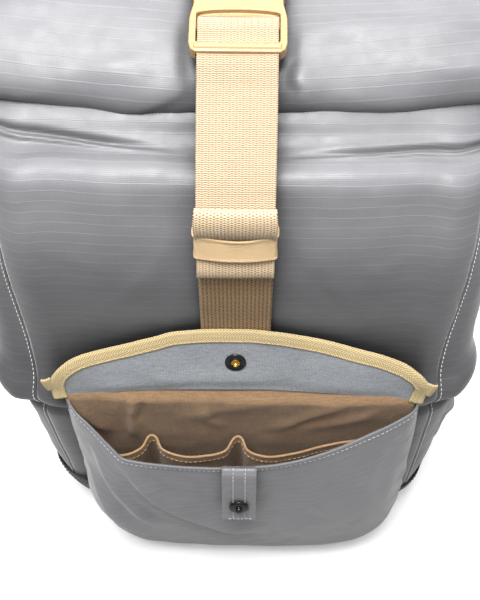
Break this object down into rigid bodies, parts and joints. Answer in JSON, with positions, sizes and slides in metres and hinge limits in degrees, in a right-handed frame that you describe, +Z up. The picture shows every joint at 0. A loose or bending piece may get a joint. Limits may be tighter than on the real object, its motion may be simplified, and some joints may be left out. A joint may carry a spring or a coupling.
{
  "type": "roll-top backpack",
  "caption": "Soft grey roll-top backpack with a webbing and side-release-buckle closure, an open-flapped front pocket, slack side pockets and a padded harness.",
  "frame": {"origin": "middle of the base, on the ground", "axes": "+Z up, +X to the right seen from the front, -Y the pocket side, +Y the side worn against the back"},
  "size_m": [0.39, 0.3019, 0.4834],
  "materials": {
    "pack_cloth": "grey ripstop nylon, slight sheen",
    "boot_cloth": "black coated nylon",
    "lining": "brown plain-weave lining",
    "flap_lining": "heather blue-grey lining",
    "tan_webbing": "tan cotton-feel webbing",
    "tan_binding": "tan herringbone tape",
    "elastic": "smooth tan elastic",
    "buckle_plastic": "cream moulded plastic",
    "foam": "closed-cell foam",
    "stiffener": "flexible plastic strip",
    "mesh": "black air mesh over foam",
    "black_plastic": "black moulded plastic",
    "snap_black": "gloss black enamel on brass",
    "snap_brass": "polished brass",
    "black_webbing": "black webbing"
  },
  "bodies": {
    "bag": {"front_panel": "pack_cloth", "back_panel": "pack_cloth", "side_panel_left": "pack_cloth", "side_panel_right": "pack_cloth", "base_boot": "boot_cloth", "base_panel": "boot_cloth", "top_collar": "pack_cloth", "frame_sheet": "foam", "closure_webbing": "tan_webbing", "top_strap": "tan_webbing", "pocket_front": "pack_cloth", "pocket_gusset_left": "pack_cloth", "pocket_gusset_right": "pack_cloth", "pocket_lining": "lining", "pocket_organizer": "lining", "side_pocket_left": "pack_cloth", "side_pocket_right": "pack_cloth", "side_pocket_binding_left": "tan_binding", "side_pocket_binding_right": "tan_binding", "back_pad_left": "mesh", "back_pad_right": "mesh", "lumbar_pad": "mesh", "yoke": "boot_cloth", "handle_anchors": "tan_webbing", "webbing_wing_left": "boot_cloth", "webbing_wing_right": "boot_cloth", "lower_webbing_left": "black_webbing", "lower_webbing_right": "black_webbing"},
    "roll": {"roll_top": "pack_cloth", "mouth_stiffener": "stiffener", "buckle_male": "buckle_plastic"},
    "buckle_socket": {"buckle_female": "buckle_plastic"},
    "prong_left": {"prong_left": "buckle_plastic"},
    "prong_right": {"prong_right": "buckle_plastic"},
    "flap": {"pocket_flap": "flap_lining", "flap_binding": "tan_binding", "flap_snap_socket": "snap_black", "flap_snap_eyelet": "snap_brass", "flap_snap_cap": "snap_black"},
    "tab": {"snap_tab": "pack_cloth", "tab_snap_stud": "snap_black", "tab_snap_post": "snap_brass"},
    "keeper": {"strap_keeper": "elastic"},
    "strap_left": {"shoulder_strap_left": "mesh"},
    "strap_right": {"shoulder_strap_right": "mesh"},
    "lock_left": {"ladder_lock_left": "black_plastic"},
    "lock_right": {"ladder_lock_right": "black_plastic"},
    "handle": {"haul_handle": "tan_webbing"}
  },
  "joints": [
    {"name": "mouth_lift", "type": "slide", "parent": "bag", "child": "roll", "axis": [0, 0, 1], "range_m": [0, 0.06], "deforming": ["closure_webbing", "top_strap"]},
    {"name": "buckle_release", "type": "slide", "parent": "roll", "child": "buckle_socket", "axis": [0, 0.9703, 0.2419], "range_m": [0, 0.03]},
    {"name": "prong_left_flex", "type": "hinge", "parent": "roll", "child": "prong_left", "pos_m": [-0.0222, 0.05943, 0.46895], "axis": [0, -0.2419, 0.9703], "range_deg": [-9.5, 0]},
    {"name": "prong_right_flex", "type": "hinge", "parent": "roll", "child": "prong_right", "pos_m": [0.0222, 0.05943, 0.46895], "axis": [0, -0.2419, 0.9703], "range_deg": [0, 9.5]},
    {"name": "flap_hinge", "type": "hinge", "parent": "bag", "child": "flap", "pos_m": [0, -0.095, 0.237], "axis": [1, 0, 0], "range_deg": [0, 135]},
    {"name": "tab_hinge", "type": "hinge", "parent": "bag", "child": "tab", "pos_m": [0, -0.1436, 0.2075], "axis": [-1, 0, 0], "range_deg": [0, 75]},
    {"name": "keeper_slide", "type": "slide", "parent": "bag", "child": "keeper", "axis": [0, 0.1672, 0.9859], "range_m": [-0.01, 0.01]},
    {"name": "strap_swing_left", "type": "hinge", "parent": "bag", "child": "strap_left", "pos_m": [-0.062, 0.103, 0.392], "axis": [1, 0, 0], "range_deg": [0, 25], "deforming": ["lower_webbing_left"]},
    {"name": "strap_swing_right", "type": "hinge", "parent": "bag", "child": "strap_right", "pos_m": [0.062, 0.103, 0.392], "axis": [1, 0, 0], "range_deg": [0, 25], "deforming": ["lower_webbing_right"]},
    {"name": "lock_tilt_left", "type": "hinge", "parent": "strap_left", "child": "lock_left", "pos_m": [-0.09584, 0.12767, 0.19206], "axis": [0.9848, 0, -0.1736], "range_deg": [-10, 40]},
    {"name": "lock_tilt_right", "type": "hinge", "parent": "strap_right", "child": "lock_right", "pos_m": [0.09584, 0.12767, 0.19206], "axis": [0.9848, 0, 0.1736], "range_deg": [-10, 40]},
    {"name": "handle_hinge", "type": "hinge", "parent": "bag", "child": "handle", "pos_m": [0, 0.1006, 0.4215], "axis": [1, 0, 0], "range_deg": [-50, 10]}
  ],
  "couplings": [
    {"joint": "prong_left_flex", "follows": "buckle_release", "rad_per_m": -5.236},
    {"joint": "prong_right_flex", "follows": "buckle_release", "rad_per_m": 5.236}
  ]
}
